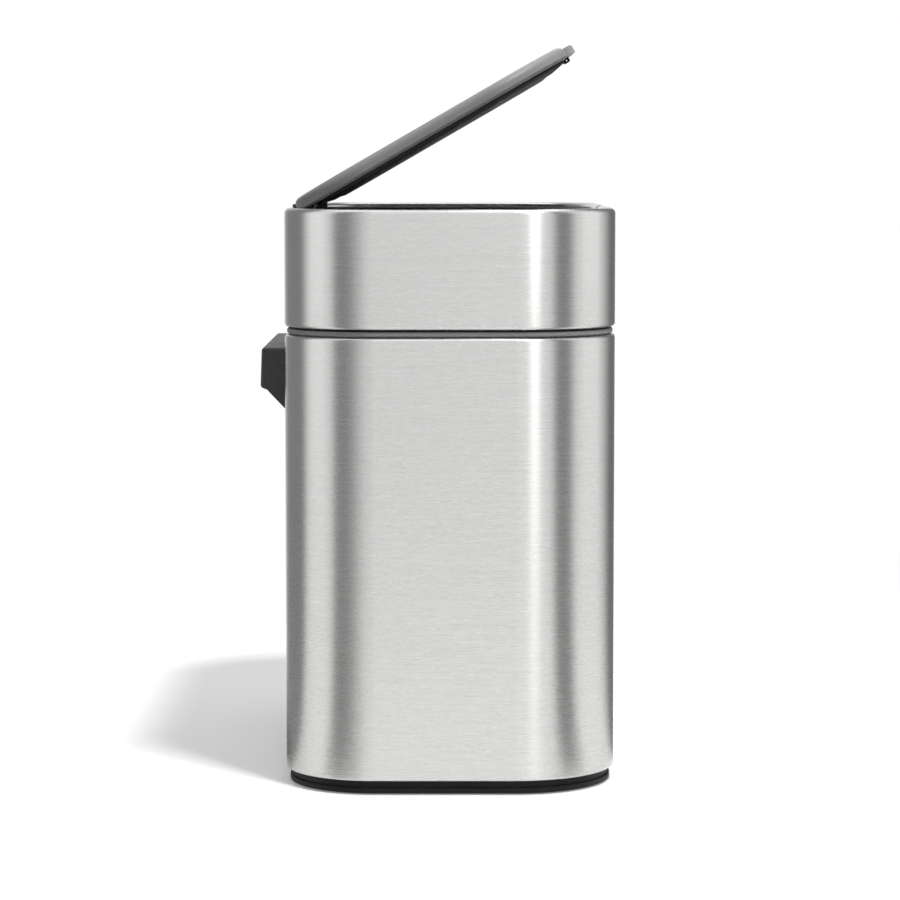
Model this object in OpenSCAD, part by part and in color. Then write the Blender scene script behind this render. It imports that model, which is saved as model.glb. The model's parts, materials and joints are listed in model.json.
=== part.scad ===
// Countertop bin with a lid that springs open when its front is pushed.
// Origin: centre of the base on the worktop. Front is -Y, up is +Z, millimetres.

/* [Body] */
// Width of the bin from left to right
body_w = 240; // [220:1:270]
// Depth of the bin from front to rear
body_d = 140; // [132:1:160]
// Height of the steel rim above the worktop
rim_h = 244; // [230:1:300]
// Height of the steel collar that carries the lid
collar_h = 49.8; // [46:0.2:60]
// Plan radius of the two front corners
front_r = 42.6; // [38:0.2:46]
// Plan radius of the two rear corners
rear_r = 38; // [36:0.2:42]
// Thickness of the sheet steel
steel_t = 0.6; // [0.5:0.1:0.8]
// Radius rolled along the rim's outer edge
rim_r = 2.3; // [2:0.1:2.6]
// Width of the rolled rim seen from above
rim_w = 4.7; // [4.4:0.1:5]

/* [Lid] */
// Angle of the lid above its closed place
lid_open = 30; // [0:1:85]
// Thickness of the lid cover at its edge
lid_t = 5; // [4.6:0.1:6]
// Distance from the rear face to the hinge axis
hinge_back = 9.4; // [9:0.1:10]
// Height of the hinge axis above the rim
hinge_up = 2.4; // [2.2:0.1:2.6]
// Diameter of the hinge pin
pin_d = 2; // [1.8:0.1:2.2]
// Width of the push tab
tab_w = 56; // [40:1:80]
// Reach of the push tab past the lid's front edge
tab_reach = 6.6; // [5:0.1:8]

/* [Docking hook] */
// Width of the hook on the rear face
hook_w = 117; // [100:1:130]
// Reach of the hook behind the rear face
hook_reach = 11.3; // [10.8:0.1:14]
// Height of the hook's flat top above the worktop
hook_top = 183.6; // [180:0.1:190]

/* [Bucket] */
// Clearance between the bucket floor and the worktop
bucket_z = 14; // [13:1:20]
// Wall thickness of the bucket
bucket_t = 1.8; // [1.5:0.1:2.5]
// Diameter of the bucket's wire handle
wire_d = 3.2; // [2.8:0.1:3.6]

/* [Hidden] */

eps = 0.01;
steel = [0.78, 0.78, 0.77];
black = [0.09, 0.09, 0.1];
charcoal = [0.24, 0.24, 0.25];
grey = [0.5, 0.5, 0.51];
zinc = [0.62, 0.62, 0.64];
rubber = [0.13, 0.13, 0.13];

// An outline is [half width, front y, rear y, front radius, rear radius].
body_line = [body_w / 2, -body_d / 2, body_d / 2, front_r, rear_r];

// Heights up the body
shell_z0 = 6;
shell_r0 = 0.9;
collar_z0 = rim_h - collar_h;
joint_gap = 3.3;
shell_z1 = collar_z0 - joint_gap;
edge_r = 1.5;
lip_s = 2.2;
top_lip_s = 3.6;
ring_z0 = shell_z1 + 0.6;
ring_z1 = collar_z0 - 0.8;
ring_in = 5.2;
ledge_z = shell_z1 - 4.9;
foot_z = 0.5;

// Mouth of the collar, inside the steel band
mouth_s = 9;
mouth_rear = body_d / 2 - 16.5;
mouth_line = [body_w / 2 - mouth_s, -body_d / 2 + mouth_s, mouth_rear, front_r - mouth_s, 24];
deck_z = rim_h - 3.2;
land_z = rim_h - 1.9;

// Lid, drawn closed and then turned about the hinge axis
hinge_y = body_d / 2 - hinge_back;
hinge_z = rim_h + hinge_up;
lid_z0 = rim_h + 0.6;
lid_z1 = lid_z0 + lid_t;
lid_skin = 1.4;
lid_edge_r = 3;
lid_line = [body_w / 2 - rim_w, -body_d / 2 + rim_w, body_d / 2 - rim_w, front_r - rim_w, rear_r - rim_w];
panel_s = 2.25;
panel_line = [lid_line[0] - panel_s, lid_line[1] + panel_s, body_d / 2 - 13.4,
              lid_line[3] - panel_s, 26.6];
panel_z0 = lid_z0 - 2.6;
lid_screw_z = panel_z0 + 1;
lid_screw_spots = [for (x = [-84, 0, 84], y = [-32, 32]) [x, y]];

// Hinge, along the X axis
bracket_x0 = 63.5;
bracket_x1 = 73;
barrel_x0 = 36;
barrel_x1 = 46;
hinge_screw = [68.2, hinge_y + 0.6];

// Latch, behind the front of the rim
latch_w = 13.2;
latch_y0 = -body_d / 2 + 1.05;
latch_y1 = -body_d / 2 + 3.9;
latch_z0 = rim_h - 20;
plunger_z = rim_h - 1.9;
striker_w = 12;

// Base and docking hook fasteners
base_spots = [for (x = [-92, 92], y = [-28, 28]) [x, y]];
ring_s0 = 5.2;
ring_s1 = 11.1;
hook_screw_x = hook_w / 2 - 4;
hook_screw_z = hook_top - 17.1;

// Wire handle: its pivot, and how it lies folded inside the bucket's mouth
pivot_z = ledge_z - 10;
arm_x = body_w / 2 - 18;
grip_y = body_d / 2 - 16;
bend_r = 20;
wire_r = wire_d / 2;

// Section pieces: s runs inwards from an outline, z runs up.
module band(s0, s1, z0, z1) {
    translate([-s1, z0]) square([s1 - s0, z1 - z0]);
}

module spot(s, z, r) {
    translate([-s, z]) circle(r = r, $fn = 48);
}

// Flat outline, drawn d inside the line
module plan(line, d) {
    for (m = [-1, 1]) {
        translate([m * (line[0] - line[3]), line[1] + line[3]]) circle(r = line[3] - d, $fn = 96);
        translate([m * (line[0] - line[4]), line[2] - line[4]]) circle(r = line[4] - d, $fn = 96);
    }
    translate([-(line[0] - line[3]), line[1] + d]) square([2 * (line[0] - line[3]), -line[1] - d]);
    translate([-(line[0] - line[4]), 0]) square([2 * (line[0] - line[4]), line[2] - d]);
    translate([-(line[0] - d), line[1] + line[3]])
        square([2 * (line[0] - d), line[2] - line[4] - line[1] - line[3]]);
}

// Slab between two heights, drawn d inside the line
module slab(line, d, z0, z1) {
    translate([0, 0, z0]) linear_extrude(z1 - z0) plan(line, d);
}

// Carries a section round the whole outline: four corners and four straights.
module around(line) {
    front_x = line[0] - line[3];
    rear_x = line[0] - line[4];
    for (m = [0, 1]) mirror([m, 0, 0]) {
        translate([front_x, line[1] + line[3], 0]) rotate([0, 0, -90])
            rotate_extrude(angle = 90, $fn = 96) translate([line[3], 0]) children();
        translate([rear_x, line[2] - line[4], 0])
            rotate_extrude(angle = 90, $fn = 96) translate([line[4], 0]) children();
        translate([line[0], line[1] + line[3], 0]) rotate([90, 0, 180]) mirror([1, 0, 0])
            linear_extrude(line[2] - line[4] - line[1] - line[3]) children();
    }
    translate([-front_x, line[1], 0]) rotate([90, 0, 90]) mirror([1, 0, 0])
        linear_extrude(2 * front_x) children();
    translate([-rear_x, line[2], 0]) rotate([90, 0, 90]) linear_extrude(2 * rear_x) children();
}

// Box from its low and high corners
module block(low, high) {
    translate(low) cube(high - low);
}

// Round bar along X between two places
module bar_x(x0, x1, y, z, r) {
    translate([x0, y, z]) rotate([0, 90, 0]) cylinder(h = x1 - x0, r = r, $fn = 48);
}

// Section drawn in the Y-Z plane, made w wide and centred on X
module across(w, x = 0) {
    translate([x - w / 2, 0, 0]) rotate([90, 0, 90]) linear_extrude(w) children();
}

module both_sides() {
    children();
    mirror([1, 0, 0]) children();
}

// Puts a closed lid piece at the opening angle
module on_hinge() {
    translate([0, hinge_y, hinge_z]) rotate([-lid_open, 0, 0])
        translate([0, -hinge_y, -hinge_z]) children();
}

// Pan-head screw pointing up, with a cross recess under its head
module screw(head_r, head_h, shank_r, shank_l) {
    difference() {
        union() {
            translate([0, 0, -head_h]) cylinder(h = head_h * 0.4, r1 = head_r * 0.8, r2 = head_r, $fn = 32);
            translate([0, 0, -head_h * 0.6]) cylinder(h = head_h * 0.6, r = head_r, $fn = 32);
            cylinder(h = shank_l - shank_r, r = shank_r, $fn = 32);
            translate([0, 0, shank_l - shank_r])
                cylinder(h = shank_r, r1 = shank_r, r2 = shank_r * 0.3, $fn = 32);
        }
        for (a = [0, 90]) rotate([0, 0, a])
            translate([-head_r * 0.55, -0.3, -head_h - eps]) cube([head_r * 1.1, 0.6, head_h * 0.5]);
    }
}

// Ring of points round one place of a wire; u and v are its cross directions.
function ring_at(p, u, v, r, sides) =
    [for (k = [0 : sides - 1]) p + r * (cos(360 * k / sides) * u + sin(360 * k / sides) * v)];

// Coil along Z from z0 to z1 with straight stubs, one unbroken six-sided wire
module coil(z0, z1, turns, mean_r, wire, stub0 = 0, stub1 = 0) {
    sides = 6;
    steps = turns * 8;
    rise = atan((z1 - z0) / (turns * 2 * PI * mean_r));
    turn = [for (k = [0 : steps]) let (a = 360 * k / 8)
        ring_at([mean_r * cos(a), mean_r * sin(a), z0 + (z1 - z0) * k / steps],
                [cos(a), sin(a), 0],
                [sin(a) * sin(rise), -cos(a) * sin(rise), cos(rise)], wire, sides)];
    low = stub0 > 0 ? [ring_at([mean_r, 0, z0 - stub0], [1, 0, 0], [0, -1, 0], wire, sides),
                       ring_at([mean_r, 0, z0 - 2 * wire], [1, 0, 0], [0, -1, 0], wire, sides)] : [];
    high = stub1 > 0 ? [ring_at([mean_r, 0, z1 + 2 * wire], [1, 0, 0], [0, -1, 0], wire, sides),
                        ring_at([mean_r, 0, z1 + stub1], [1, 0, 0], [0, -1, 0], wire, sides)] : [];
    rings = concat(low, turn, high);
    count = len(rings);
    points = [for (ring = rings) for (p = ring) p];
    walls = [for (i = [0 : count - 2]) for (k = [0 : sides - 1])
        let (a = i * sides + k, b = i * sides + (k + 1) % sides)
        each [[a, b, b + sides], [a, b + sides, a + sides]]];
    caps = [[for (k = [sides - 1 : -1 : 0]) k], [for (k = [0 : sides - 1]) (count - 1) * sides + k]];
    polyhedron(points, concat(walls, caps), convexity = 4);
}

// Steel wrap of the body, turned in at its top and bottom edges
module body_shell() {
    color(steel) difference() {
        around(body_line) difference() {
            union() {
                band(0, edge_r, shell_z0 + shell_r0, shell_z1 - edge_r);
                spot(edge_r, shell_z1 - edge_r, edge_r);
                band(edge_r, top_lip_s, shell_z1 - edge_r, shell_z1);
                spot(shell_r0, shell_z0 + shell_r0, shell_r0);
                band(shell_r0, lip_s, shell_z0, shell_z0 + shell_r0);
            }
            band(steel_t, top_lip_s + 1, shell_z0 + shell_r0, shell_z1 - edge_r);
            spot(edge_r, shell_z1 - edge_r, edge_r - steel_t);
            band(edge_r, top_lip_s + 1, shell_z1 - 2 * edge_r, shell_z1 - steel_t);
            band(top_lip_s, top_lip_s + 1, shell_z1 - 2 * edge_r, shell_z1 + 1);
            spot(shell_r0, shell_z0 + shell_r0, shell_r0 - steel_t);
            band(shell_r0, lip_s + 1, shell_z0 + steel_t, shell_z0 + 2 * shell_r0);
        }
        both_sides() translate([hook_screw_x, body_d / 2 + 1, hook_screw_z]) rotate([90, 0, 0])
            cylinder(h = 3, r = 1.5, $fn = 32);
    }
}

// Pressed steel floor that closes the wrap
module floor_pan() {
    z0 = shell_z0 + steel_t;
    wall_s = steel_t + 0.05;
    pan_t = 0.7;
    corner = 0.8;
    color(steel) difference() {
        union() {
            around(body_line) polygon([
                [-wall_s, z0 + 7], [-wall_s, z0 + corner], [-wall_s - corner, z0], [-6, z0],
                [-6, z0 + pan_t], [-wall_s - 1.1 * corner, z0 + pan_t],
                [-wall_s - pan_t, z0 + 1.2 * corner], [-wall_s - pan_t, z0 + 7]]);
            slab(body_line, 5.9, z0, z0 + pan_t);
        }
        for (p = base_spots) translate([p[0], p[1], z0 - 1]) cylinder(h = 4, r = 1.6, $fn = 32);
    }
}

// Moulded plinth: a foot, a recessed band above it, ribs and sockets underneath
module base_plinth() {
    band_s = 2.6;
    foot_s = 1.6;
    step_z = 3;
    plate_z = 4.6;
    wall_s = 4.8;
    groove_z = 2.6;
    rib_z = foot_z + 0.9;
    rib_t = 1.5;
    color(black) difference() {
        union() {
            around(body_line) {
                band(foot_s, wall_s, foot_z + 0.7, step_z - 0.4);
                spot(foot_s + 0.7, foot_z + 0.7, 0.7);
                band(foot_s + 0.7, wall_s, foot_z, foot_z + 0.7);
                spot(foot_s + 0.4, step_z - 0.4, 0.4);
                band(foot_s + 0.4, wall_s, step_z - 0.4, step_z);
                band(band_s, wall_s, step_z, shell_z0);
            }
            around(body_line) {
                band(wall_s - 0.1, ring_s1 + 1.5, groove_z, plate_z);
                band(ring_s1 + 0.2, ring_s1 + 1.5, rib_z, groove_z);
            }
            slab(body_line, wall_s - 0.1, plate_z, shell_z0);
            slab(body_line, lip_s + 0.2, shell_z0, shell_z0 + steel_t);
            intersection() {
                slab(body_line, ring_s1 + 1.4, rib_z, plate_z);
                union() {
                    for (x = [-60 : 30 : 60])
                        block([x - rib_t / 2, -body_d / 2, rib_z], [x + rib_t / 2, body_d / 2, plate_z]);
                    for (y = [-36, 0, 36])
                        block([-body_w / 2, y - rib_t / 2, rib_z], [body_w / 2, y + rib_t / 2, plate_z]);
                }
            }
            for (p = base_spots) translate([p[0], p[1], foot_z + 1.2]) cylinder(h = 3.5, r = 5, $fn = 48);
        }
        for (p = base_spots) translate([p[0], p[1], 0]) {
            translate([0, 0, -1]) cylinder(h = 4.8, r = 3.2, $fn = 48);
            cylinder(h = 9, r = 1.6, $fn = 32);
        }
    }
}

// Soft ring in a groove of the plinth; it is what stands on the worktop
module foot_ring() {
    color(rubber) around(body_line) polygon([
        [-ring_s0 - 0.5, 0], [-ring_s1 + 0.5, 0], [-ring_s1, 0.5], [-ring_s1, 2.6],
        [-ring_s0, 2.6], [-ring_s0, 0.5]]);
}

// Four screws that pull the plinth up to the floor pan
module base_screws() {
    color(zinc) for (p = base_spots) translate([p[0], p[1], 3.8]) screw(2.9, 1.7, 1.45, 7.4);
}

// Grey ring in the joint line: it locates the collar and carries the bucket
module trim_ring() {
    face_s = 1;
    round_r = 0.5;
    color(grey) around(body_line) {
        band(face_s + round_r, ring_in, ring_z0, ring_z1);
        band(face_s, face_s + round_r, ring_z0 + round_r, ring_z1 - round_r);
        spot(face_s + round_r, ring_z0 + round_r, round_r);
        spot(face_s + round_r, ring_z1 - round_r, round_r);
        band(top_lip_s - 0.6, ring_in, shell_z1, ring_z0);
        band(top_lip_s + 0.2, ring_in, ledge_z - 1.6, shell_z1);
        band(ring_in, 9.6, ledge_z - 1.6, ledge_z);
        band(lip_s + 0.3, 4.4, ledge_z - 10, ledge_z - 1.6);
        band(steel_t + 0.1, 4.4, ledge_z - 11.4, ledge_z - 10);
    }
}

// Wide hook with a flat top; a dock's tongue slides up into its pocket
module docking_hook() {
    y0 = body_d / 2;
    y1 = y0 + hook_reach;
    z1 = hook_top;
    edge = 1.4;
    draft = 0.6;
    corner_r = 2;
    side_t = 8;
    color(charcoal) difference() {
        intersection() {
            across(hook_w + 1) union() {
                polygon([
                    [y0, z1 - 29], [y0 + 1.3, z1 - 26.4], [y0 + 8.1, z1 - 19.3], [y0 + 8.9, z1 - 18.3],
                    [y1 - 0.1, z1 - 17.4], [y1 + draft, z1 - 16.6], [y1, z1 - edge],
                    [y1 - edge, z1 - edge], [y1 - edge, z1], [y0, z1]]);
                translate([y1 - edge, z1 - edge]) circle(r = edge, $fn = 48);
            }
            translate([0, y1 + 2, 0]) rotate([90, 0, 0]) linear_extrude(hook_reach + 3) union() {
                translate([-hook_w / 2, z1 - 40]) square([hook_w, 40 - edge]);
                translate([-hook_w / 2 + edge, z1 - 40]) square([hook_w - 2 * edge, 40]);
                for (m = [-1, 1])
                    translate([m * (hook_w / 2 - edge), z1 - edge]) circle(r = edge, $fn = 48);
            }
            translate([0, 0, z1 - 41]) linear_extrude(42) union() {
                translate([-hook_w / 2, y0 - 1]) square([hook_w, hook_reach + 1 + draft - corner_r]);
                translate([-hook_w / 2 + corner_r, y0 - 1])
                    square([hook_w - 2 * corner_r, hook_reach + 1 + draft]);
                for (m = [-1, 1]) translate([m * (hook_w / 2 - corner_r), y1 + draft - corner_r])
                    circle(r = corner_r, $fn = 32);
            }
        }
        block([-hook_w / 2 + side_t, y0 + 2.5, z1 - 40], [hook_w / 2 - side_t, y0 + 7.5, z1 - 6]);
        both_sides() translate([hook_screw_x, y0 + 7, hook_screw_z]) rotate([90, 0, 0])
            cylinder(h = 12, r = 1.3, $fn = 32);
    }
}

// Backing plate inside the rear wall
module hook_plate() {
    y1 = body_d / 2 - steel_t;
    color(zinc) difference() {
        block([-hook_w / 2 - 2, y1 - 1.5, hook_screw_z - 7.5], [hook_w / 2 + 2, y1, hook_screw_z + 7.5]);
        both_sides() translate([hook_screw_x, y1 + 1, hook_screw_z]) rotate([90, 0, 0])
            cylinder(h = 4, r = 1.5, $fn = 32);
    }
}

// Two screws from inside the body into the hook
module hook_screws() {
    color(zinc) both_sides() translate([hook_screw_x, body_d / 2 - steel_t - 1.5, hook_screw_z])
        rotate([-90, 0, 0]) screw(2.7, 1.6, 1.25, 8.4);
}

// Steel band of the collar: rolled rim above, turned-in edge below, slot for the striker
module collar_shell() {
    roll_z = rim_h - rim_r;
    inner_r = 0.7;
    notch_x = latch_w / 2 + 0.9;
    color(steel) difference() {
        around(body_line) difference() {
            union() {
                band(0, edge_r, collar_z0 + edge_r, roll_z);
                band(edge_r, rim_r, roll_z - 1, roll_z);
                spot(rim_r, roll_z, rim_r);
                band(rim_r, rim_w - inner_r, roll_z, rim_h);
                spot(rim_w - inner_r, rim_h - inner_r, inner_r);
                band(rim_w - inner_r, rim_w, rim_h - 2.7, rim_h - inner_r);
                spot(edge_r, collar_z0 + edge_r, edge_r);
                band(edge_r, lip_s, collar_z0, collar_z0 + edge_r);
            }
            band(steel_t, rim_r, collar_z0 + edge_r, roll_z);
            spot(rim_r, roll_z, rim_r - steel_t);
            band(rim_r, rim_w - steel_t, roll_z - 3, rim_h - steel_t);
            spot(edge_r, collar_z0 + edge_r, edge_r - steel_t);
            band(edge_r, lip_s + 1, collar_z0 + steel_t, collar_z0 + 2 * edge_r);
            band(lip_s, lip_s + 1, collar_z0 - 1, collar_z0 + 2 * edge_r);
            band(rim_r, rim_w + 1, roll_z - 2 * rim_r, rim_h - 2.7);
        }
        block([-notch_x, -body_d / 2 + steel_t, rim_h - 3.5],
              [notch_x, -body_d / 2 + rim_w + 1, rim_h + 1]);
    }
}

// Moulded frame inside the collar: wall, deck, sealing land round the mouth, locating skirt
module collar_frame() {
    color(black) difference() {
        union() {
            around(body_line) {
                band(0.8, 2.8, collar_z0 + 2.8, deck_z);
                band(0.8, 7, collar_z0 + 1.7, collar_z0 + 2.8);
                band(lip_s + 0.2, 7, ring_z1 + 0.05, collar_z0 + 1.8);
                band(ring_in + 0.3, 7, shell_z1 - 1.9, ring_z1 + 0.1);
            }
            difference() {
                slab(body_line, 2.7, deck_z - 1.6, deck_z);
                slab(mouth_line, 1, deck_z - 2, deck_z + 1);
            }
            around(mouth_line) polygon([
                [0, deck_z - 6.8], [1.6, deck_z - 6.8], [1.6, deck_z - 1.6], [4.1, deck_z - 1.6],
                [4.1, land_z], [1.6, land_z], [0, land_z - 0.7]]);
            both_sides() block([61.5, hinge_y - 2.2, deck_z - 7.8], [75, hinge_y + 6, deck_z - 1.5]);
        }
        block([-9.6, -body_d / 2, latch_z0 - 2.3], [9.6, -body_d / 2 + 8.1, rim_h]);
        both_sides() translate([hinge_screw[0], hinge_screw[1], deck_z - 9])
            cylinder(h = 10, r = 1.4, $fn = 32);
    }
}

// Hinge bracket: two bearing blocks joined by a lip that lies on the rear rim
module hinge_bracket() {
    w = bracket_x1 - bracket_x0;
    rim_y = body_d / 2 - rim_w;
    color(charcoal) difference() {
        union() {
            both_sides() across(w, (bracket_x0 + bracket_x1) / 2) {
                translate([hinge_y, hinge_z]) circle(r = 2.9, $fn = 48);
                translate([hinge_y - 2.9, deck_z]) square([5.8, hinge_z - deck_z]);
                translate([hinge_y, deck_z]) square([rim_y - 0.4 - hinge_y, rim_h + 0.1 - deck_z]);
                translate([hinge_y, rim_h + 0.05]) square([6.3, 1.35]);
            }
            across(2 * bracket_x0 + 1) union() {
                translate([rim_y + 0.25, rim_h + 0.05]) square([1.35, 0.85]);
                translate([rim_y + 0.25, rim_h + 0.5]) square([0.85, 0.9]);
                translate([rim_y + 1.1, rim_h + 0.9]) circle(r = 0.5, $fn = 24);
            }
        }
        both_sides() {
            bar_x(bracket_x0 - 1, bracket_x1 - 0.4, hinge_y, hinge_z, pin_d / 2 + 0.03);
            bar_x(bracket_x0 - 1, bracket_x0 + 1.2, hinge_y, hinge_z - 1.7, 0.4);
            translate([hinge_screw[0], hinge_screw[1], deck_z - 1]) cylinder(h = 4.7, r = 1.3, $fn = 32);
        }
    }
}

// Steel pin through the bracket and the lid's two barrels
module hinge_pin() {
    color(zinc) bar_x(-bracket_x1 + 0.45, bracket_x1 - 0.45, hinge_y, hinge_z, pin_d / 2);
}

// Pair of coil springs on the pin that lift the lid
module hinge_springs() {
    color(zinc) both_sides() translate([0, hinge_y, hinge_z]) rotate([0, 90, 0])
        coil(50, 60, 5, 1.7, 0.3, 2, 4.4);
}

// Two screws that hold the bracket down on the frame
module hinge_screws() {
    color(zinc) both_sides() translate([hinge_screw[0], hinge_screw[1], deck_z - 7.8])
        screw(2.4, 1.5, 1.25, 11);
}

// Housing of the push latch, set in a window of the frame
module latch_housing() {
    y0 = -body_d / 2 + steel_t + 0.2;
    y1 = -body_d / 2 + 7.8;
    half_w = 9.3;
    slot_w = latch_w / 2 + 0.3;
    color(charcoal) difference() {
        union() {
            block([-half_w, y0, latch_z0 - 2], [half_w, y1, plunger_z - 1.2]);
            block([-slot_w - 0.4, latch_y1, plunger_z - 2], [slot_w + 0.4, y1 - 1.4, plunger_z]);
        }
        block([-slot_w, y0 - 1, latch_z0], [slot_w, latch_y1 + 0.15, rim_h]);
        block([-3, latch_y1 - 1, latch_z0 + 9], [3, y1 + 1, latch_z0 + 15]);
    }
}

// Coil spring under the plunger
module latch_spring() {
    color(zinc) translate([0, (latch_y0 + latch_y1) / 2, 0])
        coil(latch_z0 + 0.3, plunger_z - 10.4, 6, 0.95, 0.22);
}

// Plunger that catches the striker and lets it go at the next push
module latch_plunger() {
    z0 = plunger_z - 10;
    color(black) difference() {
        union() {
            block([-latch_w / 2, latch_y0, z0], [latch_w / 2, latch_y1, plunger_z - 0.6]);
            block([-latch_w / 2 + 0.6, latch_y0, plunger_z - 1],
                  [latch_w / 2 - 0.6, latch_y1 - 0.5, plunger_z]);
        }
        block([-3.2, latch_y0 + 0.9, plunger_z - 3.4], [3.2, latch_y1 + 1, plunger_z - 1.8]);
    }
}

// Lid cover: a shallow moulded shell with a rounded top edge
module lid_cover() {
    wall = 2;
    root_r = 0.5;
    skin_z = lid_z1 - lid_skin;
    cheek_y1 = body_d / 2 - rim_w - 1.9;
    color(grey) on_hinge() difference() {
        union() {
            around(lid_line) {
                difference() {
                    union() {
                        spot(lid_edge_r, lid_z1 - lid_edge_r, lid_edge_r);
                        band(0, lid_edge_r, lid_z0 + root_r, lid_z1 - lid_edge_r);
                        spot(root_r, lid_z0 + root_r, root_r);
                        band(root_r, wall, lid_z0, lid_z0 + root_r);
                        band(lid_edge_r, 6, skin_z, lid_z1);
                    }
                    band(wall, 7, lid_z0 - 1, skin_z);
                }
            }
            slab(lid_line, 5.5, skin_z, lid_z1);
            for (p = lid_screw_spots)
                translate([p[0], p[1], lid_z0 - 1]) cylinder(h = lid_t, r = 3, $fn = 32);
            both_sides() {
                bar_x(barrel_x0, barrel_x1, hinge_y, hinge_z, 2.4);
                block([barrel_x0, hinge_y - 2.4, hinge_z], [barrel_x1, hinge_y + 2.4, skin_z + 0.5]);
                block([bracket_x0 - 1.6, hinge_y + 1.4, lid_z0 + 0.5],
                      [bracket_x0 - 0.3, cheek_y1, skin_z + 0.5]);
                block([bracket_x1 + 0.3, hinge_y - 3.4, lid_z0 + 0.5],
                      [bracket_x1 + 1.6, cheek_y1, skin_z + 0.5]);
            }
        }
        for (p = lid_screw_spots) translate([p[0], p[1], lid_z0 - 2]) cylinder(h = 5, r = 1.3, $fn = 32);
        both_sides() {
            block([bracket_x0 - 0.3, hinge_y - 3.4, lid_z0 - 3],
                  [bracket_x1 + 0.3, body_d / 2, lid_z1 + 1]);
            bar_x(barrel_x1 + 0.2, bracket_x0, hinge_y, hinge_z, 2.35);
            bar_x(barrel_x0 - 1, bracket_x1, hinge_y, hinge_z, pin_d / 2 + 0.06);
        }
        block([-tab_w / 2 + 5.7, lid_line[1] - 1, lid_z0 + 0.3],
              [tab_w / 2 - 5.7, lid_line[1] + 3, lid_z0 + 3]);
    }
}

// Dark panel under the cover: a shallow tray with sloping sides
module lid_inner_panel() {
    top_z = lid_z0 - 0.1;
    slope_s = 6;
    floor_t = 1.4;
    color(black) on_hinge() difference() {
        union() {
            around(panel_line) polygon([
                [0, top_z - 0.6], [-1.4, top_z - 0.6], [-1.4, panel_z0 + 1.1], [-slope_s, panel_z0],
                [-slope_s - 1.2, panel_z0], [-slope_s - 1.2, panel_z0 + floor_t],
                [-slope_s - 0.2, panel_z0 + floor_t], [-2.9, panel_z0 + 2.2], [-2.9, top_z], [0, top_z]]);
            slab(panel_line, slope_s + 1, panel_z0, panel_z0 + floor_t);
            for (p = lid_screw_spots) translate([p[0], p[1], panel_z0]) cylinder(h = 1.6, r = 4.4, $fn = 48);
        }
        for (p = lid_screw_spots) translate([p[0], p[1], lid_screw_z]) {
            translate([0, 0, -2]) cylinder(h = 2, r = 3, $fn = 48);
            cylinder(h = 5, r = 1.5, $fn = 32);
        }
    }
}

// Soft seal in the step round the panel
module lid_seal() {
    color(rubber) on_hinge() around(panel_line) {
        spot(0.7, lid_z0 - 1.35, 0.6);
        band(0.25, 1.35, lid_z0 - 1.35, lid_z0 - 0.7);
    }
}

// Push tab: a finger plate in front of the lid, with a tongue let into the cover
module push_tab() {
    y0 = lid_line[1] - 0.05;
    y1 = lid_line[1] - tab_reach;
    z0 = lid_z0 + 0.2;
    z1 = z0 + 4;
    nose_r = 1.3;
    corner_r = 4;
    color(grey) on_hinge() {
        intersection() {
            across(tab_w) {
                translate([y1 + nose_r, z0]) square([y0 - y1 - nose_r, z1 - z0]);
                translate([y1, z0 + 0.6]) square([nose_r, z1 - z0 - 0.6 - nose_r]);
                translate([y1 + nose_r, z1 - nose_r]) circle(r = nose_r, $fn = 32);
                translate([y1 + 0.6, z0 + 0.6]) circle(r = 0.6, $fn = 24);
                translate([y1 + 0.6, z0]) square([1, 1]);
            }
            translate([0, 0, z0 - 1]) linear_extrude(z1 - z0 + 2) union() {
                translate([-tab_w / 2, y1 + corner_r]) square([tab_w, y0 - y1 - corner_r + 1]);
                translate([-tab_w / 2 + corner_r, y1]) square([tab_w - 2 * corner_r, corner_r + 1]);
                for (m = [-1, 1])
                    translate([m * (tab_w / 2 - corner_r), y1 + corner_r]) circle(r = corner_r, $fn = 48);
            }
        }
        block([-tab_w / 2 + 6, y0 - 1, lid_z0 + 0.5], [tab_w / 2 - 6, y0 + 8, lid_z0 + 2.8]);
    }
}

// Striker under the tab; it drops through the rim's slot onto the plunger
module latch_striker() {
    y0 = -body_d / 2 + 0.95;
    y1 = y0 + 2.8;
    z1 = lid_z0 + 0.2;
    z0 = z1 - 2.1;
    color(black) on_hinge() difference() {
        across(striker_w) union() {
            translate([y0, z0 + 0.7]) square([y1 - y0, z1 - z0 - 0.7]);
            translate([y0 + 0.7, z0]) square([y1 - y0 - 1.4, 1]);
            translate([y0 + 0.7, z0 + 0.7]) circle(r = 0.7, $fn = 24);
            translate([y1 - 0.7, z0 + 0.7]) circle(r = 0.7, $fn = 24);
        }
        bar_x(-striker_w, striker_w, (y0 + y1) / 2 - 0.2, z0 + 1.05, 0.5);
    }
}

// Six screws that hold the panel to the cover
module lid_screws() {
    color(zinc) on_hinge() for (p = lid_screw_spots)
        translate([p[0], p[1], lid_screw_z]) screw(2.7, 1, 1.25, 4);
}

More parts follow.
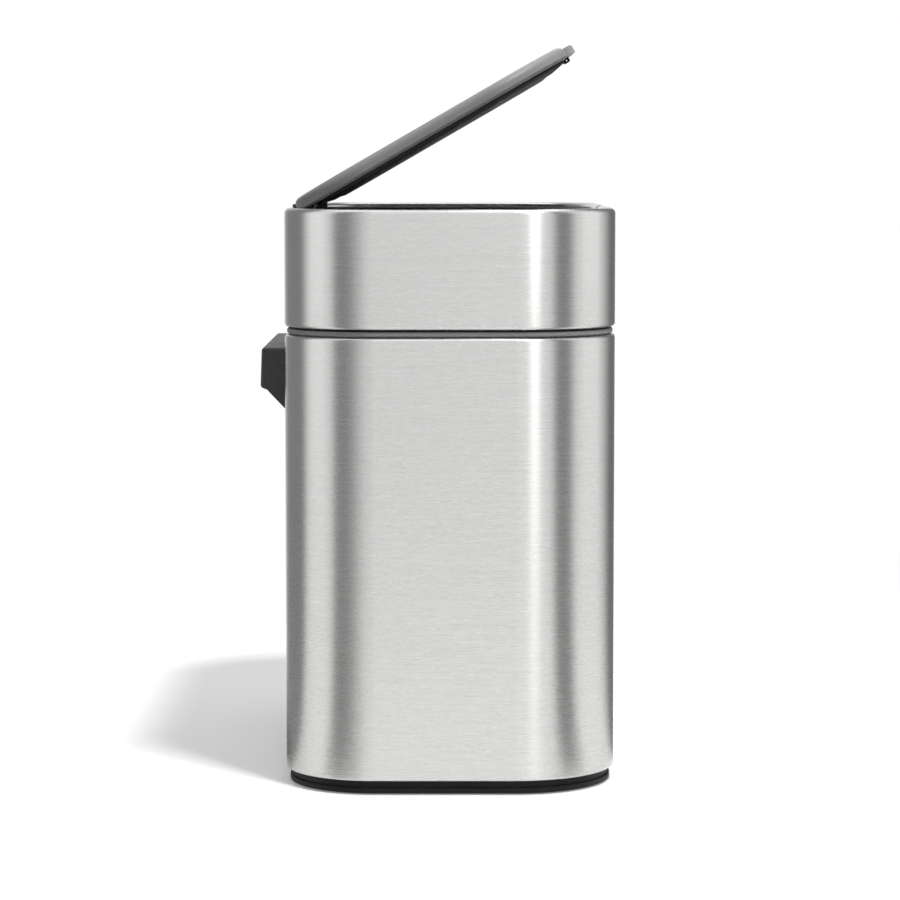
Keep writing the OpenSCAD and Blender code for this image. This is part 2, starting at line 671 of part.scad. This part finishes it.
// Lift-out bucket: tapered walls, flange, a blind bearing at each end, two handle rests
module inner_bucket() {
    flange_s = 5.6;
    top_s = 10;
    low_s = 14;
    floor_s = 18;
    rest_x = 55;
    rest_z = pivot_z - wire_r - 0.3;
    color(charcoal) difference() {
        union() {
            slab(body_line, flange_s, ledge_z, ledge_z + 2);
            hull() {
                slab(body_line, top_s, ledge_z + 0.5, ledge_z + 1, $fn = 32);
                slab(body_line, low_s, bucket_z + 5, bucket_z + 5.5, $fn = 32);
                slab(body_line, floor_s, bucket_z, bucket_z + 0.5, $fn = 32);
            }
        }
        difference() {
            hull() {
                slab(body_line, top_s + bucket_t, ledge_z + 2.5, ledge_z + 3, $fn = 32);
                slab(body_line, low_s + bucket_t, bucket_z + 5.5, bucket_z + 6, $fn = 32);
                slab(body_line, floor_s + bucket_t, bucket_z + bucket_t, bucket_z + bucket_t + 0.5,
                     $fn = 32);
            }
            both_sides() {
                bar_x(arm_x + 1.8, arm_x + 9, 0, pivot_z, 4.5);
                across(6, rest_x) polygon([
                    [grip_y - 2.5, rest_z], [body_d / 2, rest_z], [body_d / 2, rest_z - 14],
                    [grip_y + 1, rest_z - 8], [grip_y - 2.5, rest_z - 2]]);
            }
        }
        both_sides() bar_x(arm_x, arm_x + 6, 0, pivot_z, wire_r + 0.06);
    }
}

// Wire handle of the bucket, folded to the rear on its two rests
module bucket_handle() {
    color(zinc) {
        both_sides() {
            bar_x(arm_x, arm_x + 5.8, 0, pivot_z, wire_r);
            translate([arm_x, 0, pivot_z]) sphere(r = wire_r, $fn = 32);
            translate([arm_x, 0, pivot_z]) rotate([-90, 0, 0])
                cylinder(h = grip_y - bend_r, r = wire_r, $fn = 48);
            translate([arm_x - bend_r, grip_y - bend_r, pivot_z])
                rotate_extrude(angle = 90, $fn = 48) translate([bend_r, 0]) circle(r = wire_r, $fn = 32);
        }
        bar_x(-(arm_x - bend_r), arm_x - bend_r, grip_y, pivot_z, wire_r);
    }
}

body_shell();
floor_pan();
base_plinth();
foot_ring();
base_screws();
trim_ring();
docking_hook();
hook_plate();
hook_screws();
collar_shell();
collar_frame();
hinge_bracket();
hinge_pin();
hinge_springs();
hinge_screws();
latch_housing();
latch_spring();
latch_plunger();
lid_cover();
lid_inner_panel();
lid_seal();
push_tab();
latch_striker();
lid_screws();
inner_bucket();
bucket_handle();
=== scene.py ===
import bpy
import json
import math
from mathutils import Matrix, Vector


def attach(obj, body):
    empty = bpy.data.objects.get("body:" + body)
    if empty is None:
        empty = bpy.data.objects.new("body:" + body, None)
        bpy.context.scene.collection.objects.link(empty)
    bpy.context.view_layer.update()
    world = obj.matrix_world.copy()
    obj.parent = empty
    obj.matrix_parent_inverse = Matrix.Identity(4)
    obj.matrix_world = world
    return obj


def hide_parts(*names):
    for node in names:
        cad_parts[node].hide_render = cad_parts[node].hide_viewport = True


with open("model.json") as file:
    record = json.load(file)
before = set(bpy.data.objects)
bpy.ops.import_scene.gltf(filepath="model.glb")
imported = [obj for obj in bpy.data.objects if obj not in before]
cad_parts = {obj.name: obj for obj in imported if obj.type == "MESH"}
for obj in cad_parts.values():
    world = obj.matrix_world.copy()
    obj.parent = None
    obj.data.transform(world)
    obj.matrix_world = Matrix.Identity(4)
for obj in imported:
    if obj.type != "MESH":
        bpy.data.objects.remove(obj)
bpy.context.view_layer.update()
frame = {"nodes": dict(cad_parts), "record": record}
print("stage: frame loaded")

mm = 0.001


def linear(hexText):
    # sRGB hex to the linear colour that shaders take
    parts = [int(hexText[i:i + 2], 16) / 255 for i in (1, 3, 5)]
    return tuple(p / 12.92 if p <= 0.04045 else ((p + 0.055) / 1.055) ** 2.4 for p in parts) + (1.0,)


def addNode(tree, kind, settings=None, links=None):
    # A setting goes to the input of that name or number, or else to the node itself.
    node = tree.nodes.new(kind)
    for key, value in (settings or {}).items():
        if isinstance(key, int) or key in node.inputs:
            node.inputs[key].default_value = value
        else:
            setattr(node, key, value)
    for key, (source, output) in (links or {}).items():
        tree.links.new(source.outputs[output], node.inputs[key])
    return node


def setStops(ramp, places, colours):
    for element, place, colour in zip(ramp.color_ramp.elements, places, colours):
        element.position = place
        element.color = linear(colour)


def newMaterial(name):
    material = bpy.data.materials.new(name)
    material.use_nodes = True
    material.node_tree.nodes.clear()
    return material, material.node_tree


# Stainless steel, belt-brushed round the body before it was bent. The scratches lie level, so
# reflections run up and down in soft columns and stay narrow from side to side.
brushedSteel = {
    "colour": "#CFCFCE",
    "darkColour": "#C6C6C5",
    "colourStops": (0.32, 0.68),      # scratch heights at which the steel is fully dark or light
    "roughness": 0.27,
    "roughnessSpread": (-0.02, 0.03),
    "roughnessStops": (0.3, 0.7),
    "stretch": 0.80,                  # how much wider a reflection is across the scratches
    "stretchTurn": 0.25,              # of a full turn, from level to upright
    "grainHeight": 0.36,              # mm; real scratches are 0.05 mm, drawn coarser so that they show
    "layers": ((34.0, 1.0), (6.0, 1.2)),  # long and short scratches: mm long, and how much finer
    "layerMix": 0.55,                 # share of the short ones
    "grainDetail": 1.0,
    "grainSoftness": 0.5,
    "grainDepth": 0.03,
    "relief": 0.2,                    # mm, before grainDepth
}


def makeBrushedSteel(name, look):
    material, tree = newMaterial(name)
    place = addNode(tree, "ShaderNodeTexCoord")
    across = 1000 / look["grainHeight"]
    streaks = []
    for length, finer in look["layers"]:
        along = 1000 / length
        squeeze = addNode(tree, "ShaderNodeMapping", {"Scale": (along, along, across * finer)},
                          {"Vector": (place, "Object")})
        streak = addNode(tree, "ShaderNodeTexNoise",
                         {"Scale": 1.0, "Detail": look["grainDetail"], "Roughness": look["grainSoftness"]},
                         {"Vector": (squeeze, "Vector")})
        streaks.append(streak)
    both = addNode(tree, "ShaderNodeMix", {"data_type": "FLOAT", "Factor": look["layerMix"]},
                   {"A": (streaks[0], "Fac"), "B": (streaks[1], "Fac")})
    tint = addNode(tree, "ShaderNodeValToRGB", None, {"Fac": (both, "Result")})
    setStops(tint, look["colourStops"], (look["darkColour"], look["colour"]))
    low, high = look["roughnessStops"]
    smoother, rougher = look["roughnessSpread"]
    polish = addNode(tree, "ShaderNodeMapRange",
                     {"From Min": low, "From Max": high,
                      "To Min": look["roughness"] + smoother, "To Max": look["roughness"] + rougher},
                     {"Value": (both, "Result")})
    relief = addNode(tree, "ShaderNodeBump",
                     {"Strength": look["grainDepth"], "Distance": look["relief"] * mm},
                     {"Height": (both, "Result")})
    level = addNode(tree, "ShaderNodeTangent", {"direction_type": "RADIAL", "axis": "Z"})
    shader = addNode(tree, "ShaderNodeBsdfPrincipled",
                     {"Metallic": 1.0, "Anisotropic": look["stretch"],
                      "Anisotropic Rotation": look["stretchTurn"]},
                     {"Base Color": (tint, "Color"), "Roughness": (polish, "Result"),
                      "Normal": (relief, "Normal"), "Tangent": (level, "Tangent")})
    addNode(tree, "ShaderNodeOutputMaterial", None, {"Surface": (shader, "BSDF")})
    return material


# Zinc-plated steel, cold drawn or pressed: a dull, slightly blotchy grey metal.
zincSteel = {
    "colour": "#A9AAAD",
    "darkColour": "#8C8D91",
    "colourStops": (0.35, 0.65),
    "roughness": 0.36,
    "roughnessSpread": 0.08,
    "blotch": 3.0,            # mm, about the size of the crystals in the zinc
    "blotchDetail": 4.0,
}


def makeZincSteel(name, look):
    material, tree = newMaterial(name)
    place = addNode(tree, "ShaderNodeTexCoord")
    blotch = addNode(tree, "ShaderNodeTexNoise",
                     {"Scale": 1000 / look["blotch"], "Detail": look["blotchDetail"]},
                     {"Vector": (place, "Object")})
    tint = addNode(tree, "ShaderNodeValToRGB", None, {"Fac": (blotch, "Fac")})
    setStops(tint, look["colourStops"], (look["darkColour"], look["colour"]))
    polish = addNode(tree, "ShaderNodeMapRange",
                     {"To Min": look["roughness"] - look["roughnessSpread"],
                      "To Max": look["roughness"] + look["roughnessSpread"]},
                     {"Value": (blotch, "Fac")})
    shader = addNode(tree, "ShaderNodeBsdfPrincipled", {"Metallic": 1.0},
                     {"Base Color": (tint, "Color"), "Roughness": (polish, "Result")})
    addNode(tree, "ShaderNodeOutputMaterial", None, {"Surface": (shader, "BSDF")})
    return material


# Moulded pieces. Spark-eroded moulds leave a fine matt grain, and handled edges polish a little.
# The grain is in mm; the real one is nearer 0.1 mm and is drawn coarser so that it shows.
mouldings = {
    # plinth, frame, striker, plunger: deep matt black, where only the edges catch light
    "blackPolypropyleneMoulded": {"colour": "#1C1C1D", "edge": "#2B2B2C", "roughness": 0.55,
                                  "grain": 0.55, "depth": 0.10, "ior": 1.49, "sheen": 0.22},
    # hook, bracket, latch, bucket: dark grey with a wide soft highlight on faces turned up
    "charcoalPolypropyleneMoulded": {"colour": "#313132", "edge": "#3F3F40", "roughness": 0.50,
                                     "grain": 0.55, "depth": 0.10, "ior": 1.49, "sheen": 0.60},
    # tray under the lid: a shade lighter than the plinth and duller
    "darkGreyPolypropyleneMoulded": {"colour": "#3B3B3C", "edge": "#4A4A4B", "roughness": 0.60,
                                     "grain": 0.55, "depth": 0.10, "ior": 1.49, "sheen": 0.15},
    # lid cover: satin mid grey that shades evenly along its rounded edge
    "greyAbsMoulded": {"colour": "#8F8F91", "edge": "#9A9A9C", "roughness": 0.46,
                       "grain": 0.50, "depth": 0.05, "ior": 1.53, "sheen": 0.40},
    # finger tab and the ring in the joint line: the cover's own plastic, painted a lighter grey that
    # stands in for light falling on them
    "greyAbsMouldedPaintedLighter": {"colour": "#A0A0A2", "edge": "#A9A9AB", "roughness": 0.46,
                            "grain": 0.50, "depth": 0.05, "ior": 1.53, "sheen": 0.40},
    # foot ring and lid seal: thermoplastic rubber, nearly without gloss, so that edges look soft
    "rubberMoulded": {"colour": "#373738", "edge": "#414142", "roughness": 0.78,
                      "grain": 0.80, "depth": 0.12, "ior": 1.50, "sheen": 0.20},
}

# What all the moulded pieces share
mouldedSurface = {
    "edgeRadius": 0.35,               # mm, worn edge
    "edgeStops": (1.0, 0.80),         # cosine between edge and face: still fresh, fully worn
    "clouds": 60.0,                   # handling marks in a metre, so about 17 mm each
    "cloudDetail": 4.0,
    "roughnessSpread": (-0.04, 0.06),
    "roughnessStops": (0.3, 0.7),
    "relief": 0.08,                   # mm, before depth
}


def makeMoulded(name, look):
    surface = mouldedSurface
    material, tree = newMaterial(name)
    place = addNode(tree, "ShaderNodeTexCoord")
    grain = addNode(tree, "ShaderNodeTexVoronoi", {"Scale": 1000 / look["grain"], "feature": "SMOOTH_F1"},
                    {"Vector": (place, "Object")})
    cloud = addNode(tree, "ShaderNodeTexNoise",
                    {"Scale": surface["clouds"], "Detail": surface["cloudDetail"]},
                    {"Vector": (place, "Object")})
    rounded = addNode(tree, "ShaderNodeBevel", {"samples": 4, "Radius": surface["edgeRadius"] * mm})
    facing = addNode(tree, "ShaderNodeNewGeometry")
    match = addNode(tree, "ShaderNodeVectorMath", {"operation": "DOT_PRODUCT"},
                    {0: (rounded, "Normal"), 1: (facing, "Normal")})
    fresh, wornOut = surface["edgeStops"]
    worn = addNode(tree, "ShaderNodeMapRange",
                   {"From Min": fresh, "From Max": wornOut, "To Min": 0.0, "To Max": 1.0},
                   {"Value": (match, "Value")})
    patchy = addNode(tree, "ShaderNodeMath", {"operation": "MULTIPLY"},
                     {0: (worn, "Result"), 1: (cloud, "Fac")})
    tint = addNode(tree, "ShaderNodeMix",
                   {"data_type": "RGBA", "A": linear(look["colour"]), "B": linear(look["edge"])},
                   {"Factor": (patchy, "Value")})
    low, high = surface["roughnessStops"]
    smoother, rougher = surface["roughnessSpread"]
    polish = addNode(tree, "ShaderNodeMapRange",
                     {"From Min": low, "From Max": high,
                      "To Min": look["roughness"] + smoother, "To Max": look["roughness"] + rougher},
                     {"Value": (cloud, "Fac")})
    relief = addNode(tree, "ShaderNodeBump",
                     {"Strength": look["depth"], "Distance": surface["relief"] * mm},
                     {"Height": (grain, "Distance"), "Normal": (rounded, "Normal")})
    shader = addNode(tree, "ShaderNodeBsdfPrincipled",
                     {"IOR": look["ior"], "Specular IOR Level": look["sheen"]},
                     {"Base Color": (tint, "Result"), "Roughness": (polish, "Result"),
                      "Normal": (relief, "Normal")})
    addNode(tree, "ShaderNodeOutputMaterial", None, {"Surface": (shader, "BSDF")})
    return material


moulded = {name: makeMoulded(name, look) for name, look in mouldings.items()}
finishes = {
    "brushed_steel": makeBrushedSteel("stainlessSteelBrushed", brushedSteel),
    "plain_steel": makeZincSteel("zincPlatedSteel", zincSteel),
    "black_plastic": moulded["blackPolypropyleneMoulded"],
    "charcoal_plastic": moulded["charcoalPolypropyleneMoulded"],
    "grey_plastic": moulded["greyAbsMoulded"],
    "rubber": moulded["rubberMoulded"],
}
ownFinish = {
    "lid_inner_panel": moulded["darkGreyPolypropyleneMoulded"],
    # tab and ring: the cover's plastic painted lighter, as painted light
    "push_tab": moulded["greyAbsMouldedPaintedLighter"],
    "trim_ring": moulded["greyAbsMouldedPaintedLighter"],
}
print("stage: materials made")

slotOf = {part["node"]: part["material_slot"] for part in frame["record"]["subparts"]}
for nodeName, cadObject in frame["nodes"].items():
    cadObject.data.materials.clear()
    cadObject.data.materials.append(ownFinish.get(nodeName, finishes[slotOf[nodeName]]))
print("stage: materials on the CAD nodes")

# Steel band of the collar. Its top is folded over in one full roll, rounder inside than the CAD band,
# so that the far rim shows a soft bright line. Sizes in mm, heights above the worktop.
collarBand = {
    "width": 240.0, "depth": 140.0, "frontRadius": 42.6, "rearRadius": 38.0,
    "rimHeight": 244.0, "lowEdge": 194.2, "steel": 0.6,
    "rollRadius": 2.3, "rollWidth": 4.7, "rollDrop": 2.7,
    "lowRadius": 1.5, "lip": 2.2,
    "slotWidth": 15.0, "slotDrop": 3.5,   # where the striker drops through the front of the rim
    "slotClear": 1.0,                     # how far the cut runs past the rim
    "cornerSteps": 32, "rollSteps": 8,
    "creaseAngle": 35,                    # degrees; the sheet's cut edges stay sharp
}


def arcPoints(centreS, centreZ, radius, first, last, steps):
    angles = [math.radians(first + (last - first) * k / steps) for k in range(steps + 1)]
    return [(centreS + radius * math.cos(a), centreZ + radius * math.sin(a)) for a in angles]


def bandSection(size):
    # Closed section of the sheet: s runs inwards from the outer face, z runs up.
    steps, steel, lip = size["rollSteps"], size["steel"], size["lip"]
    rollR, rollZ = size["rollRadius"], size["rimHeight"] - size["rollRadius"]
    innerS, endS = size["rollWidth"] - rollR, size["rollWidth"]
    endZ = size["rimHeight"] - size["rollDrop"]
    lowR, lowZ = size["lowRadius"], size["lowEdge"] + size["lowRadius"]
    outside = [(0, lowZ)] + arcPoints(rollR, rollZ, rollR, 180, 90, steps)
    outside += arcPoints(innerS, rollZ, rollR, 90, 0, steps)
    hem = [(endS, endZ), (endS - steel, endZ)]
    inside = arcPoints(innerS, rollZ, rollR - steel, 0, 90, steps)
    inside += arcPoints(rollR, rollZ, rollR - steel, 90, 180, steps)
    foot = arcPoints(lowR, lowZ, lowR - steel, 180, 270, steps)
    foot += [(lip, size["lowEdge"] + steel), (lip, size["lowEdge"])]
    back = arcPoints(lowR, lowZ, lowR, 270, 180, steps)[:-1]
    return outside + hem + inside + foot + back


def outlineStations(size):
    # Each station is a corner's centre, its radius and the angle of the outward direction.
    halfW, halfD, steps = size["width"] / 2, size["depth"] / 2, size["cornerSteps"]
    frontR, rearR = size["frontRadius"], size["rearRadius"]
    corners = [
        (halfW - rearR, halfD - rearR, rearR, 0),
        (-halfW + rearR, halfD - rearR, rearR, 90),
        (-halfW + frontR, -halfD + frontR, frontR, 180),
        (halfW - frontR, -halfD + frontR, frontR, 270),
    ]
    return [(x, y, radius, math.radians(start + 90 * k / steps))
            for x, y, radius, start in corners for k in range(steps + 1)]


def newObject(name, points, faces):
    mesh = bpy.data.meshes.new(name + "Mesh")
    mesh.from_pydata(points, [], faces)
    thing = bpy.data.objects.new(name, mesh)
    bpy.context.collection.objects.link(thing)
    return thing


def makeSlotCutter(size):
    half, front = size["slotWidth"] / 2, -size["depth"] / 2
    low = (-half, front + size["steel"], size["rimHeight"] - size["slotDrop"])
    high = (half, front + size["rollWidth"] + size["slotClear"], size["rimHeight"] + size["slotClear"])
    corners = ((low[0], low[1]), (high[0], low[1]), (high[0], high[1]), (low[0], high[1]))
    points = [(x * mm, y * mm, z * mm) for z in (low[2], high[2]) for x, y in corners]
    faces = [(0, 3, 2, 1), (4, 5, 6, 7), (0, 1, 5, 4), (1, 2, 6, 5), (2, 3, 7, 6), (3, 0, 4, 7)]
    return newObject("slotCutter", points, faces)


def makeCollarBand(name, size, material):
    section, stations = bandSection(size), outlineStations(size)
    points = [((x + (radius - s) * math.cos(a)) * mm, (y + (radius - s) * math.sin(a)) * mm, z * mm)
              for x, y, radius, a in stations for s, z in section]
    n, m = len(section), len(stations)
    faces = [(i * n + k, i * n + (k + 1) % n, (i + 1) % m * n + (k + 1) % n, (i + 1) % m * n + k)
             for i in range(m) for k in range(n)]
    band = newObject(name, points, faces)

    cutter = makeSlotCutter(size)
    cut = band.modifiers.new("slot", "BOOLEAN")
    cut.operation, cut.solver, cut.object = "DIFFERENCE", "EXACT", cutter
    bpy.context.view_layer.update()
    finished = bpy.data.meshes.new_from_object(band.evaluated_get(bpy.context.evaluated_depsgraph_get()))
    band.modifiers.clear()
    band.data = finished
    bpy.data.objects.remove(cutter)
    finished.materials.clear()
    finished.materials.append(material)
    finished.polygons.foreach_set("use_smooth", [True] * len(finished.polygons))
    finished.set_sharp_from_angle(angle=math.radians(size["creaseAngle"]))
    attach(band, "collar")
    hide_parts("collar_shell")


makeCollarBand("collar_band", collarBand, finishes["brushed_steel"])
print("stage: collar band made")

# Floor, backdrop and lamps. Angles go round the table from the photo's camera towards the bin's front.
studio = {
    "floor": "#F5F5F4",
    "floorBounce": "#A6A6A6",  # what the floor throws back on the bin
    "floorGlow": 0.22,         # keeps the floor white to the camera and leaves the shadow
    "floorReach": 12.0,        # m from the middle to the floor's edge
    "sweepStart": 0.31,        # m from the bin, where the floor starts to fade into the backdrop
    "sweepEnd": 0.78,
    "worldLevel": 0.26,
    "aimHeight": 0.12,         # m, where the lamps point: half way up to the rim
}

# Each lamp: angle and height angle in degrees, distance, width and height in m, watts, and whether
# metal mirrors it and whether it lights the plastics and the floor
lamps = {
    "keyLamp": (30.4, 64.6, 1.9, 0.21, 0.21, 24.0, False, True),
    "keyGlint": (24.5, 62, 1.9, 0.26, 0.30, 21.0, True, False),
    "stripBox": (22, 9, 1.6, 0.28, 1.20, 1.60, True, False),
    "frontStrip": (93, 14, 1.5, 0.80, 1.30, 0.8, True, False),
    "frontSoftBox": (93, 14, 1.5, 0.80, 1.30, 3.7, False, True),
    "rearStrip": (-74, 14, 1.5, 0.62, 1.30, 0.65, True, False),
    "topSoftBox": (180, 80, 1.7, 1.50, 1.50, 9.6, True, True),
}

# Black felt flags give the metal its dark columns. Each stands round one corner of the bin and lies
# on the floor before it: corner, the angles where it starts, is full, stays full and ends, and how dark.
flags = [
    ("front", 38, 50, 60, 75, 0.70),
    ("front", 106, 142, 160, 172, 0.80),
    ("rear", -2, -38, -45, -59, 0.68),
    ("rear", -89, -105, -140, -176, 0.70),
]
flagShape = {"radius": 0.75, "top": 1.2, "floorFrom": 0.065, "lift": 0.001, "steps": 14,
             "bodyWidth": 0.240, "bodyDepth": 0.140, "cornerRadius": 0.040}  # m, apart from steps


def roundTable(angle, lift, distance):
    a, e = math.radians(angle), math.radians(lift)
    return Vector((-math.cos(a) * math.cos(e), -math.sin(a) * math.cos(e), math.sin(e))) * distance


def addStage(name, points, faces, material):
    thing = newObject(name, points, faces)
    thing.data.materials.append(material)
    return thing


def addSeenBy(tree):
    # 1 for what the camera, metal or glass sees, 0 for light that bounces about
    rays = addNode(tree, "ShaderNodeLightPath")
    seen = addNode(tree, "ShaderNodeMath", {"operation": "MAXIMUM"},
                   {0: (rays, "Is Camera Ray"), 1: (rays, "Is Glossy Ray")})
    return addNode(tree, "ShaderNodeMath", {"operation": "MAXIMUM"},
                   {0: (seen, "Value"), 1: (rays, "Is Transmission Ray")})


# Floor paint, matt and pale: white to the camera and grey to the light that it throws back.
def makeFloor():
    material, tree = newMaterial("studioFloorPaint")
    either = addSeenBy(tree)
    tone = addNode(tree, "ShaderNodeMix",
                   {"data_type": "RGBA",
                    "A": linear(studio["floorBounce"]), "B": linear(studio["floor"])},
                   {"Factor": (either, "Value")})
    paint = addNode(tree, "ShaderNodeBsdfDiffuse", None, {"Color": (tone, "Result")})
    level = addNode(tree, "ShaderNodeMath", {"operation": "MULTIPLY", 1: studio["floorGlow"]},
                    {0: (either, "Value")})
    glow = addNode(tree, "ShaderNodeEmission", None, {"Strength": (level, "Value")})
    near = addNode(tree, "ShaderNodeAddShader", None, {0: (paint, "BSDF"), 1: (glow, "Emission")})
    place = addNode(tree, "ShaderNodeTexCoord")
    reach = addNode(tree, "ShaderNodeVectorMath", {"operation": "LENGTH"}, {0: (place, "Object")})
    fade = addNode(tree, "ShaderNodeMapRange",
                   {"interpolation_type": "SMOOTHSTEP",
                    "From Min": studio["sweepStart"], "From Max": studio["sweepEnd"]},
                   {"Value": (reach, "Value")})
    share = addNode(tree, "ShaderNodeMath", {"operation": "MULTIPLY"},
                    {0: (fade, "Result"), 1: (either, "Value")})
    white = addNode(tree, "ShaderNodeEmission", {"Strength": 1.0})
    total = addNode(tree, "ShaderNodeMixShader", None,
                    {0: (share, "Value"), 1: (near, "Shader"), 2: (white, "Emission")})
    addNode(tree, "ShaderNodeOutputMaterial", None, {"Surface": (total, "Shader")})
    size = studio["floorReach"]
    addStage("studioFloor", [(-size, -size, 0), (size, -size, 0), (size, size, 0), (-size, size, 0)],
             [(0, 1, 2, 3)], material)


def makeWorld():
    world = bpy.data.worlds.new("studioWorld")
    world.use_nodes = True
    tree = world.node_tree
    tree.nodes.clear()
    either = addSeenBy(tree)
    dim = addNode(tree, "ShaderNodeBackground", {"Color": (1, 1, 1, 1), "Strength": studio["worldLevel"]})
    white = addNode(tree, "ShaderNodeBackground", {"Color": (1, 1, 1, 1), "Strength": 1.0})
    mixed = addNode(tree, "ShaderNodeMixShader", None,
                    {0: (either, "Value"), 1: (dim, "Background"), 2: (white, "Background")})
    addNode(tree, "ShaderNodeOutputWorld", None, {"Surface": (mixed, "Shader")})
    bpy.context.scene.world = world


def addLamp(name, angle, lift, distance, width, height, watts, seenInMetal, lightsPlastics):
    lamp = bpy.data.lights.new(name, "AREA")
    lamp.shape = "RECTANGLE"
    lamp.size = width
    lamp.size_y = height
    lamp.energy = watts
    holder = bpy.data.objects.new(name, lamp)
    middle = Vector((0, 0, studio["aimHeight"]))
    holder.location = middle + roundTable(angle, lift, distance)
    holder.rotation_euler = (middle - holder.location).to_track_quat("-Z", "Y").to_euler()
    holder.visible_glossy = seenInMetal
    holder.visible_diffuse = lightsPlastics
    holder.visible_camera = False
    bpy.context.collection.objects.link(holder)


# Black felt: it gives back no light, and is thinned to nothing towards both ends of a flag.
def makeFelt(name, angles, dark):
    start, full, stay, end = [math.radians(abs(angle)) for angle in angles]
    side = -1 if min(angles) < 0 else 1
    material, tree = newMaterial(name)
    place = addNode(tree, "ShaderNodeTexCoord")
    parts = addNode(tree, "ShaderNodeSeparateXYZ", None, {0: (place, "Object")})
    away = addNode(tree, "ShaderNodeMath", {"operation": "MULTIPLY", 1: -1.0}, {0: (parts, "X")})
    out = addNode(tree, "ShaderNodeMath", {"operation": "MULTIPLY", 1: -1.0 * side}, {0: (parts, "Y")})
    turn = addNode(tree, "ShaderNodeMath", {"operation": "ARCTAN2"},
                   {0: (out, "Value"), 1: (away, "Value")})
    rise, fall = [addNode(tree, "ShaderNodeMapRange",
                          {"interpolation_type": "SMOOTHSTEP", "From Min": clearAt, "From Max": fullAt},
                          {"Value": (turn, "Value")})
                  for clearAt, fullAt in ((start, full), (end, stay))]
    share = addNode(tree, "ShaderNodeMath", {"operation": "MULTIPLY"},
                    {0: (rise, "Result"), 1: (fall, "Result")})
    level = addNode(tree, "ShaderNodeMath", {"operation": "MULTIPLY", 1: dark}, {0: (share, "Value")})
    felt = addNode(tree, "ShaderNodeEmission", {"Color": (0, 0, 0, 1), "Strength": 0.0})
    clear = addNode(tree, "ShaderNodeBsdfTransparent")
    total = addNode(tree, "ShaderNodeMixShader", None,
                    {0: (level, "Value"), 1: (clear, "BSDF"), 2: (felt, "Emission")})
    addNode(tree, "ShaderNodeOutputMaterial", None, {"Surface": (total, "Shader")})
    return material


def addFlag(index, corner, start, full, stay, end, dark):
    shape = flagShape
    points = []
    for k in range(shape["steps"] + 1):
        angle = start + (end - start) * k / shape["steps"]
        inner = roundTable(angle, 0, shape["floorFrom"])
        outer = roundTable(angle, 0, shape["radius"])
        points += [(inner.x, inner.y, shape["lift"]), (outer.x, outer.y, shape["lift"]),
                   (outer.x, outer.y, shape["top"])]
    faces = []
    for k in range(shape["steps"]):
        a, b = 3 * k, 3 * k + 3
        faces += [(a, a + 1, b + 1, b), (a + 1, a + 2, b + 2, b + 1)]
    felt = makeFelt(f"flagFelt{index}", (start, full, stay, end), dark)
    flag = addStage(f"studioFlag{index}", points, faces, felt)
    toFront = -1 if corner == "front" else 1
    flag.location = (-(shape["bodyWidth"] / 2 - shape["cornerRadius"]),
                     toFront * (shape["bodyDepth"] / 2 - shape["cornerRadius"]), 0)
    flag.visible_camera = False
    flag.visible_diffuse = False
    flag.visible_shadow = False


makeFloor()
makeWorld()
for name, figures in lamps.items():
    addLamp(name, *figures)
for index, figures in enumerate(flags):
    addFlag(index, *figures)
print("stage: studio made")

# Camera fitted to the rim, the joint line, the base and the silhouette of the photo. It stands on the
# bin's -X side and looks down a little: metres, degrees, mm of lens and film, share of the picture.
view = {"distance": 1.413, "height": 0.2627, "tilt": 5.208, "lens": 125.78, "film": 36.0,
        "sideways": -0.1 / 900}
cameraData = bpy.data.cameras.new("photoCamera")
cameraData.lens = view["lens"]
cameraData.sensor_width = view["film"]
cameraData.shift_x = view["sideways"]
camera = bpy.data.objects.new("photoCamera", cameraData)
camera.location = (-view["distance"], 0, view["height"])
camera.rotation_euler = (math.radians(90 - view["tilt"]), 0, math.radians(-90))
bpy.context.collection.objects.link(camera)
bpy.context.scene.camera = camera
bpy.context.scene.view_settings.view_transform = "Standard"
print("stage: camera made")
